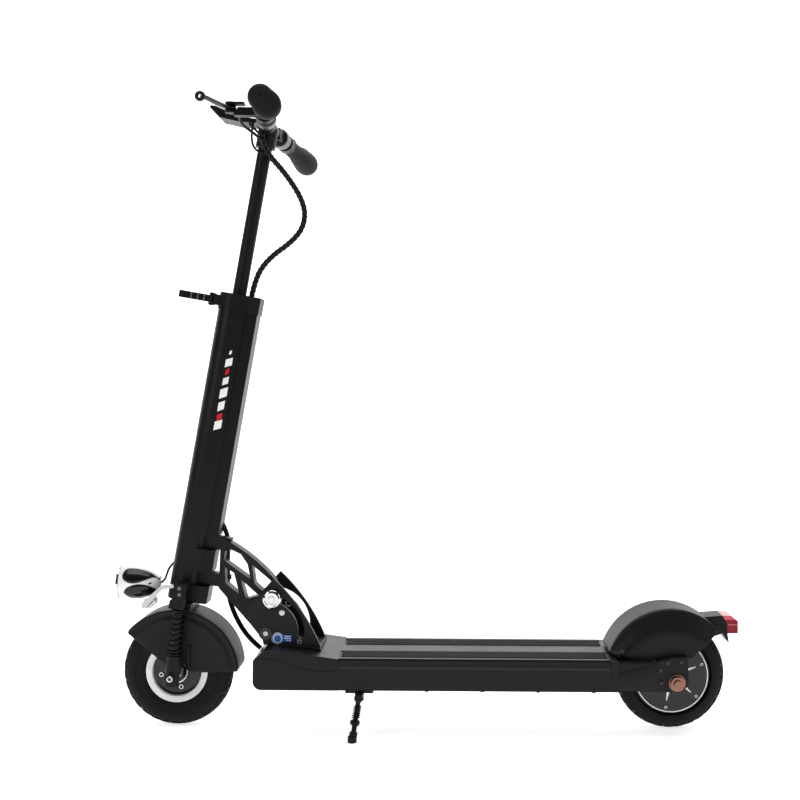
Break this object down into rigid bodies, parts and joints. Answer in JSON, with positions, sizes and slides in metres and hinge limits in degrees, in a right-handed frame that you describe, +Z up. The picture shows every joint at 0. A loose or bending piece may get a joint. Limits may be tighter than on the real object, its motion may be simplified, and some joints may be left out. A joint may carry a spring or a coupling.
{
  "type": "electric kick scooter",
  "caption": "Folding electric kick scooter with sprung fork, rear hub motor, height-adjustable folding handlebar, headlight, tail light and kickstand.",
  "frame": {"origin": "centre of the ground footprint, on the ground the tyres stand on", "axes": "+X forward, +Y to the rider's left, +Z up"},
  "size_m": [1.1382, 0.5552, 1.131],
  "materials": {
    "frame_black": "satin black powder coat on aluminium",
    "steel_black": "satin black painted steel",
    "rubber_grip": "matte moulded rubber",
    "tyre_rubber": "treaded tyre rubber",
    "black_plastic": "textured black plastic",
    "cable_sheath": "black cable sheath",
    "bright_steel": "bright zinc steel",
    "spring_black": "black spring steel",
    "rim_paint": "white rim band on black",
    "motor_paint": "satin black with white lines",
    "motor_steel": "laminated steel",
    "axle_nut": "copper-coloured plating",
    "sleeve_grey": "anodised grey",
    "lamp_chrome": "bright chrome",
    "lamp_white": "gloss white with black inserts",
    "clear_lens": "clear moulded lens",
    "red_lens": "red moulded lens",
    "button_red": "button"
  },
  "bodies": {
    "base": {"deck_shell": "frame_black", "grip_strips": "rubber_grip", "bottom_cover": "frame_black", "cover_screws": "bright_steel", "battery_pack": "black_plastic", "motor_controller": "black_plastic", "deck_front_cap": "frame_black", "charge_socket": "black_plastic", "rear_casting": "frame_black", "motor_axle": "bright_steel", "motor_stator": "motor_steel", "rear_axle_nuts": "axle_nut", "rear_mudguard": "black_plastic", "tail_light_housing": "black_plastic", "tail_light_lens": "red_lens", "kickstand_mount": "steel_black", "fold_bracket": "frame_black", "fold_pivot_bolt": "bright_steel", "frame_bolts": "bright_steel"},
    "rear_wheel": {"rear_tyre": "tyre_rubber", "motor_rotor": "motor_steel", "motor_covers": "motor_paint", "motor_bearings": "bright_steel"},
    "kickstand": {"kickstand_leg": "steel_black", "kickstand_foot": "rubber_grip"},
    "arm": {"fold_arm": "frame_black", "head_bearings": "bright_steel", "deck_lead": "cable_sheath"},
    "lock_pin": {"lock_pin": "bright_steel"},
    "stem": {"stem_shell": "frame_black", "stem_collar": "frame_black", "fork_crown": "steel_black", "front_mudguard": "black_plastic", "lamp_bracket": "lamp_chrome", "lamp_lead": "cable_sheath", "steering_lead": "cable_sheath"},
    "clamp_lever": {"clamp_lever": "frame_black"},
    "lamp": {"lamp_body": "lamp_white", "lamp_lens": "clear_lens"},
    "fork_lower": {"fork_legs": "frame_black", "front_axle": "steel_black", "fork_springs": "spring_black"},
    "front_wheel": {"front_tyre": "tyre_rubber", "front_rim": "rim_paint", "front_bearings": "bright_steel"},
    "post": {"sliding_post": "frame_black", "handlebar_clamp": "frame_black", "display": "black_plastic", "handlebar_harness": "cable_sheath"},
    "power_button": {"power_button": "button_red"},
    "left_bar": {"left_bar": "frame_black", "brake_perch": "frame_black", "left_grip": "rubber_grip"},
    "left_sleeve": {"left_lock_sleeve": "sleeve_grey"},
    "brake_lever": {"brake_lever": "frame_black"},
    "right_bar": {"right_bar": "frame_black", "throttle_pod": "black_plastic", "right_grip": "rubber_grip"},
    "right_sleeve": {"right_lock_sleeve": "sleeve_grey"},
    "throttle": {"throttle_paddle": "black_plastic"}
  },
  "joints": [
    {"name": "fold", "type": "hinge", "parent": "base", "child": "arm", "pos_m": [0.2866, 0, 0.1759], "axis": [0, -1, 0], "range_deg": [0, 80.4], "deforming": ["deck_lead"]},
    {"name": "lock_pin_pull", "type": "slide", "parent": "arm", "child": "lock_pin", "axis": [0, 1, 0], "range_m": [0, 0.008], "stiffness_N_per_m": 1500},
    {"name": "steer", "type": "hinge", "parent": "arm", "child": "stem", "pos_m": [0.48, 0, 0], "axis": [-0.1668, 0, 0.986], "range_deg": [-40, 40], "deforming": ["steering_lead"]},
    {"name": "suspension", "type": "slide", "parent": "stem", "child": "fork_lower", "axis": [-0.0958, 0, 0.9954], "range_m": [0, 0.01], "stiffness_N_per_m": 15000, "springref_m": -0.008, "deforming": ["fork_springs"]},
    {"name": "front_wheel_spin", "type": "hinge", "parent": "fork_lower", "child": "front_wheel", "pos_m": [0.452, 0, 0.1], "axis": [0, 1, 0], "continuous": true},
    {"name": "rear_wheel_spin", "type": "hinge", "parent": "base", "child": "rear_wheel", "pos_m": [-0.448, 0, 0.1], "axis": [0, 1, 0], "continuous": true},
    {"name": "kickstand_swing", "type": "hinge", "parent": "base", "child": "kickstand", "pos_m": [0.115, 0.088, 0.074], "axis": [0, 1, 0], "range_deg": [0, 92]},
    {"name": "lamp_tilt", "type": "hinge", "parent": "stem", "child": "lamp", "pos_m": [0.507, 0, 0.223], "axis": [0, 1, 0], "range_deg": [-15, 15], "deforming": ["lamp_lead"]},
    {"name": "clamp_lever_swing", "type": "hinge", "parent": "stem", "child": "clamp_lever", "pos_m": [0.39765, 0, 0.7807], "axis": [-0.1668, 0, 0.986], "range_deg": [0, 90]},
    {"name": "post_slide", "type": "slide", "parent": "stem", "child": "post", "axis": [0.1668, 0, -0.986], "range_m": [0, 0.24], "deforming": ["handlebar_harness"]},
    {"name": "power_button_press", "type": "slide", "parent": "post", "child": "power_button", "axis": [0.2079, 0, -0.9781], "range_m": [0, 0.0015], "stiffness_N_per_m": 400},
    {"name": "left_bar_fold", "type": "hinge", "parent": "post", "child": "left_bar", "pos_m": [0.28953, 0.05, 1.09386], "axis": [-0.9945, -0.1048, 0.0023], "range_deg": [0, 82]},
    {"name": "left_sleeve_slide", "type": "slide", "parent": "left_bar", "child": "left_sleeve", "axis": [-0.1048, 0.9943, -0.0217], "range_m": [0, 0.012]},
    {"name": "brake_squeeze", "type": "hinge", "parent": "left_bar", "child": "brake_lever", "pos_m": [0.339, 0.138, 1.1], "axis": [0, 0, 1], "range_deg": [0, 22], "stiffness_Nm_per_rad": 1.5, "springref_deg": -5.73},
    {"name": "right_bar_fold", "type": "hinge", "parent": "post", "child": "right_bar", "pos_m": [0.28953, -0.05, 1.09386], "axis": [0.9945, -0.1048, -0.0023], "range_deg": [0, 82]},
    {"name": "right_sleeve_slide", "type": "slide", "parent": "right_bar", "child": "right_sleeve", "axis": [-0.1048, -0.9943, -0.0217], "range_m": [0, 0.012]},
    {"name": "throttle_push", "type": "hinge", "parent": "right_bar", "child": "throttle", "pos_m": [0.31642, -0.13846, 1.09993], "axis": [-0.1048, -0.9943, -0.0217], "range_deg": [0, 35], "stiffness_Nm_per_rad": 0.3, "springref_deg": -2.86}
  ]
}
